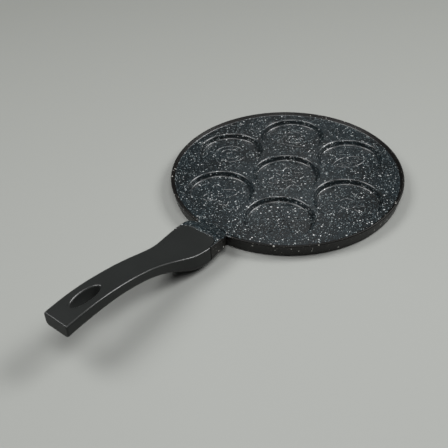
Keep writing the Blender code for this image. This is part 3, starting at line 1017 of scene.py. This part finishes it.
def add_flecks(tree, place, colour, layers):
    """Lay every size of fleck over a colour; returns the new colour and the masks."""
    masks = []
    for cell, half_width, empty, opacity, darkest, palest in layers:
        cells = add_node(tree, "TexVoronoi", sized(place, cell), feature="F1")
        chance = add_node(tree, "SeparateColor", {"Color": cells.outputs["Color"]})
        widths = {"Value": chance.outputs["Red"], "From Min": empty, "To Max": half_width / cell}
        size = add_node(tree, "MapRange", widths)
        inside = add_node(tree, "Math", {0: size, 1: cells.outputs["Distance"]}, operation="SUBTRACT")
        edge = {"Value": inside, "From Max": FLECK_EDGE / cell, "To Max": opacity}
        masks.append(add_node(tree, "MapRange", edge, interpolation_type="SMOOTHSTEP"))
        greys = {MIX_FACTOR: chance.outputs["Green"], MIX_A: linear(darkest), MIX_B: linear(palest)}
        fleck = add_node(tree, "Mix", greys, data_type="RGBA")
        laid = {MIX_FACTOR: masks[-1], MIX_A: colour, MIX_B: fleck}
        colour = add_node(tree, "Mix", laid, data_type="RGBA")
    return colour, masks


for cell, half_width, *_ in INSIDE_FLECKS + OUTSIDE_FLECKS:
    print("flecks up to", 2 * half_width, "mm wide in", cell, "mm cells")


# %% [markdown]
# A sprayed and baked coat dries with a faint orange peel, waves of a millimetre
# or two and a few hundredths high, and its sheen varies a little with the mottle.
# The larger flecks are stone, so they are duller than the polymer round them. The
# inside coat's top layer is nearly pure resin, which shines more strongly than
# the pigmented enamel outside: that draws the wells' rims as bright lines.

# %% Coats: sheen and surface
PEEL_SIZE = 1.7
PEEL_HEIGHT = 0.035
NOISE_RANGE = {"From Min": 0.3, "From Max": 0.7}
SHEEN_SPREAD = 0.05
FLECK_DULLNESS = 0.2
COAT_IOR = 1.55


def speckled_coat(name, darkest, palest, flecks, roughness, shine):
    """A fleck-filled baked coat; shine is the strength of its surface reflection."""
    made, tree, shader, place = new_material(name, {"IOR": COAT_IOR, "Specular IOR Level": shine})
    ground, mottle = uneven_ground(tree, place, darkest, palest)
    colour, masks = add_flecks(tree, stirred(tree, place), ground, flecks)
    spread = {"To Min": roughness - SHEEN_SPREAD, "To Max": roughness + SHEEN_SPREAD}
    sheen = add_node(tree, "MapRange", {"Value": mottle, **NOISE_RANGE, **spread})
    dull = add_node(tree, "Math", {0: masks[1], 1: FLECK_DULLNESS, 2: sheen}, operation="MULTIPLY_ADD")
    peel = add_node(tree, "TexNoise", sized(place, PEEL_SIZE, Detail=2.0))
    bump = add_node(tree, "Bump", {"Height": peel, "Distance": PEEL_HEIGHT * MM, "Strength": 1.0})
    feed(shader, {"Base Color": colour, "Roughness": dull, "Normal": bump})
    return made


inside_coat = speckled_coat(
    "speckled_nonstick_coating", "#040b0d", "#152227", INSIDE_FLECKS, roughness=0.31, shine=1.0
)
outside_coat = speckled_coat(
    "speckled_black_enamel", "#0b0a08", "#151412", OUTSIDE_FLECKS, roughness=0.46, shine=0.28
)
print("made", inside_coat.name, "and", outside_coat.name)


# %% [markdown]
# Where does one coat end and the other begin? The outside coat covers everything
# past the fillet at the lip's foot, and all that faces down. The neck is the
# exception: the inside coat runs out over its top, and only its steep sides and
# the chamfers beside the tongue are black. The border follows edges that the mesh
# already has, so each face simply gets one coat or the other, chosen by its
# middle and by the way it faces.

# %% Choose the coat of each face
NECK_COAT_START = 121.0
NECK_COAT_HALF_WIDTH = 23.5
STEEP = 0.35
SIDEWAYS = 0.5
FACING_DOWN = -0.4
LIP_FOOT_END = LIP_INNER_RADIUS - LIP_FOOT_FILLET * (1.0 - math.cos(math.radians(LIP_LEAN_ANGLE)))


def is_tongue_chamfer(centre, normal):
    """True for a face of the seam's chamfer that looks sideways at the tongue."""
    beside_tongue = centre.x > TONGUE_FRONT and abs(centre.y) < POCKET_HALF_WIDTH + SEAM_CHAMFER
    return beside_tongue and abs(normal.y) > SIDEWAYS


def has_outside_coat(centre, normal):
    """True where a face of the pan, centre in millimetres, is black enamel."""
    on_neck = centre.x > NECK_COAT_START and abs(centre.y) < NECK_COAT_HALF_WIDTH
    past_lip = math.hypot(centre.x, centre.y) > LIP_FOOT_END
    black_on_neck = normal.z < STEEP or is_tongue_chamfer(centre, normal)
    return normal.z < FACING_DOWN or past_lip and (not on_neck or black_on_neck)


def finish_faces(piece, first, second, has_second):
    """Give each face the first or the second finish, by a test on its middle and its normal."""
    piece.data.materials.clear()
    piece.data.materials.append(first)
    piece.data.materials.append(second)
    for face in piece.data.polygons:
        face.material_index = int(has_second(face.center / MM, face.normal))
    count = sum(face.material_index for face in piece.data.polygons)
    print(count, "of", len(piece.data.polygons), "faces of", piece.name, "have", second.name)


finish_faces(pan, inside_coat, outside_coat, has_outside_coat)


# %% [markdown]
# The handle is phenolic, the hard black plastic of pan handles. It is pressed in
# a steel mould whose surface was spark-eroded, so it has a fine even grain and a
# matt, slightly greenish black. The real grain is about a tenth of a millimetre;
# it is drawn five times as coarse so that it shows. Spark erosion leaves the
# mould's rounded corners smoother, and hands wear them smoother still, so the
# edges along the top are the one place that shines. One recipe makes both.

# %% Phenolic
GRAIN_SIZE = 0.5
FLOW_SIZE = 30.0
PHENOLIC_IOR = 1.5


def phenolic(name, roughness, grain_height, shine):
    """Black moulded phenolic with a grain of this height in millimetres."""
    made, tree, shader, place = new_material(name, {"IOR": PHENOLIC_IOR, "Specular IOR Level": shine})
    flow = add_node(tree, "TexNoise", sized(place, FLOW_SIZE, Detail=3.0))
    grain = add_node(tree, "TexNoise", sized(place, GRAIN_SIZE, Detail=2.0))
    blacks = {MIX_FACTOR: flow, MIX_A: linear("#292b2a"), MIX_B: linear("#323433")}
    black = add_node(tree, "Mix", blacks, data_type="RGBA")
    spread = {"To Min": roughness - SHEEN_SPREAD, "To Max": roughness + SHEEN_SPREAD}
    dull = add_node(tree, "MapRange", {"Value": grain, **NOISE_RANGE, **spread})
    bump = add_node(tree, "Bump", {"Height": grain, "Distance": grain_height * MM, "Strength": 1.0})
    feed(shader, {"Base Color": black, "Roughness": dull, "Normal": bump})
    return made


grained_phenolic = phenolic("grained_phenolic", roughness=0.44, grain_height=0.012, shine=0.14)
polished_phenolic = phenolic("polished_phenolic_edge", roughness=0.28, grain_height=0.004, shine=0.9)
print("made", grained_phenolic.name, "and", polished_phenolic.name)


# %% [markdown]
# The screw and its washers are steel with a bright zinc plating. Zinc goes on as
# small crystals, so its sheen is slightly cloudy.

# %% Zinc-plated steel
CRYSTAL_SIZE = 0.8
HAZE_SIZE = 3.0
BRIGHTEST_ROUGHNESS = 0.24
DULLEST_ROUGHNESS = 0.4

zinc, zinc_tree, zinc_shader, place = new_material("zinc_plated_steel", {"Metallic": 1.0})
crystals = add_node(zinc_tree, "TexVoronoi", sized(place, CRYSTAL_SIZE), feature="F1")
haze = add_node(zinc_tree, "TexNoise", sized(place, HAZE_SIZE, Detail=4.0))
greys = {MIX_FACTOR: haze, MIX_A: linear("#b3b4b2"), MIX_B: linear("#d2d2cb")}
plating = add_node(zinc_tree, "Mix", greys, data_type="RGBA")
chance = add_node(zinc_tree, "SeparateColor", {"Color": crystals.outputs["Color"]})
cloudy = {"Value": chance.outputs["Red"], "To Min": BRIGHTEST_ROUGHNESS, "To Max": DULLEST_ROUGHNESS}
sheen = add_node(zinc_tree, "MapRange", cloudy)
feed(zinc_shader, {"Base Color": plating, "Roughness": sheen})
print("made", zinc.name)


# %% [markdown]
# Now every piece gets its finish, and the casting and the handle get their place
# in the frame. On the handle, the faces that slope between the flat top and the
# upright sides are the rounded edges, so their slope picks out where it shines.
# The tongue's edges stay dull, as nobody's hand gets there.

# %% Give the pieces their finishes
EDGE_FLATTEST = 0.93
EDGE_STEEPEST = 0.4


def is_polished(centre, normal):
    """True where a face of the handle is one of its shining top edges."""
    return EDGE_STEEPEST < normal.z < EDGE_FLATTEST and centre.x > SHOULDER_X


finish_faces(handle, grained_phenolic, polished_phenolic, is_polished)
for piece, node, slot in (
    (pan, "pan_body", "coated_casting"),
    (handle, "handle_grip", "moulded_phenolic"),
):
    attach(piece, "root")
    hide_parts(node)
for node in ("handle_screw", "flat_washer", "spring_washer"):
    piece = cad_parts[node]
    piece.data.materials.clear()
    piece.data.materials.append(zinc)


# %% [markdown]
# The pan stands on a wide sheet of pale grey paper. Its colour carries painted
# light falloff: the sheet is palest in front of the pan and painted darker behind
# it, a painted shade that grows with the distance from one spot. A trace of grain
# keeps it from looking like an empty background.

# %% Stage
# Painted light falloff: the paper is palest at this spot and painted darker with the distance from it.
PAINTED_LIGHT_CENTRE = (0.20, 0.20, 0.0)
PAINTED_SHADE_START = 0.12
PAINTED_SHADE_END = 0.95
FIBRE_SIZE = 1.5
FIBRE_HEIGHT = 0.01
PAPER_ROUGHNESS = 0.9
FLOOR_SIZE = 12.0

paper, paper_tree, paper_shader, place = new_material("studio_paper", {"Roughness": PAPER_ROUGHNESS})
# The paper's colour mixes a lit and a shaded grey by the distance from that spot: painted shade, not the
# paper's own tone.
to_painted_light = add_node(paper_tree, "VectorMath", {0: place, 1: PAINTED_LIGHT_CENTRE}, operation="DISTANCE")
reach = {"Value": to_painted_light, "From Min": PAINTED_SHADE_START, "From Max": PAINTED_SHADE_END}
painted_shade_share = add_node(paper_tree, "MapRange", reach)
lit_and_shaded_greys = {MIX_FACTOR: painted_shade_share, MIX_A: linear("#bcbeba"), MIX_B: linear("#abada8")}
painted_light_falloff = add_node(paper_tree, "Mix", lit_and_shaded_greys, data_type="RGBA")
fibres = add_node(paper_tree, "TexNoise", sized(place, FIBRE_SIZE, Detail=2.0))
bump = add_node(paper_tree, "Bump", {"Height": fibres, "Distance": FIBRE_HEIGHT * MM})
feed(paper_shader, {"Base Color": painted_light_falloff, "Normal": bump})

floor = add_shape(bpy.ops.mesh.primitive_plane_add, "floor", size=FLOOR_SIZE)
floor.data.materials.append(paper)
print("laid", paper.name, "on a floor", FLOOR_SIZE, "m wide")


# %% [markdown]
# The camera looks down at the pan from beyond the handle's end, on the +Y side.
# Its place, aim and lens were worked out from the picture: a long lens from under
# a metre away, turned by two or three degrees.

# %% Camera
CAMERA_PLACE = Vector((567.1, 388.3, 496.1))
CAMERA_AIM = Vector((115.0, 1.0, 13.0))
CAMERA_ROLL = -2.45
CAMERA_LENS = 58.42

camera_data = bpy.data.cameras.new("camera")
camera_data.lens = CAMERA_LENS
camera = bpy.data.objects.new("camera", camera_data)
bpy.context.scene.collection.objects.link(camera)
camera.location = CAMERA_PLACE * MM
look = (CAMERA_AIM - CAMERA_PLACE).to_track_quat("-Z", "Y")
camera.rotation_mode = "QUATERNION"
camera.rotation_quaternion = look @ Quaternion((0.0, 0.0, 1.0), math.radians(CAMERA_ROLL))
bpy.context.scene.camera = camera
print("camera", round((CAMERA_AIM - CAMERA_PLACE).length), "mm from its aim")


# %% [markdown]
# As the camera sees it, three large soft lamps light the pan from left, right and
# above, and a weak small one stands behind it, for the faint sheen in the middle
# of the plate. An even sky that is brighter overhead fills in the rest. A lamp's
# strength is given as its share of the light on the floor. The shares and the sky
# add up to about one, the level at which a colour looks about as it is written.

# %% Light
LAMPS = (
    # name, azimuth and elevation in degrees, distance and width in metres, share of the floor's light
    ("softbox_right", 143.0, 46.0, 2.4, 1.0, 0.31),
    ("softbox_left", 308.0, 54.0, 2.4, 1.2, 0.30),
    ("softbox_top", 48.0, 64.0, 2.4, 1.2, 0.26),
    ("sheen_lamp", 214.0, 40.0, 1.6, 0.35, 0.006),
)
SKY_LEVEL = 0.015
SKY_RISE = 0.15
SKY_STEEPNESS = 3.0


def softbox(name, azimuth, elevation, distance, size, share):
    """A square lamp aimed at the pan; share is its part of the light on the floor."""
    lamp = bpy.data.lights.new(name, "AREA")
    lamp.size = size
    flat, rise = polar(1.0, math.radians(elevation))
    lamp.energy = share * math.pi**2 * distance**2 / rise
    item = bpy.data.objects.new(name, lamp)
    bpy.context.scene.collection.objects.link(item)
    direction = Vector((*polar(flat, math.radians(azimuth)), rise))
    item.location = direction * distance
    item.rotation_euler = direction.to_track_quat("Z", "Y").to_euler()


for lamp_values in LAMPS:
    softbox(*lamp_values)

world = bpy.data.worlds.new("soft_sky")
world.use_nodes = True
sky_tree = world.node_tree
direction = add_node(sky_tree, "TexCoord").outputs["Generated"]
upward = add_node(sky_tree, "SeparateXYZ", {"Vector": direction})
steep = {0: upward.outputs["Z"], 1: SKY_STEEPNESS}
overhead = add_node(sky_tree, "Math", steep, operation="POWER", use_clamp=True)
levels = {"Value": overhead, "To Min": SKY_LEVEL, "To Max": SKY_LEVEL + SKY_RISE}
sky = add_node(sky_tree, "MapRange", levels)
feed(sky_tree.nodes["Background"], {"Color": (1.0, 1.0, 1.0, 1.0), "Strength": sky})
bpy.context.scene.world = world
bpy.context.scene.view_settings.view_transform = "Standard"
print("the lamps give", round(sum(values[-1] for values in LAMPS), 3), "of the floor's light")


# %% [markdown]
# Last, the measured model's box is printed.

# %% Print the measured box
print("measured box", [round(v / MM, 2) for v in (*cad_low, *cad_high)])
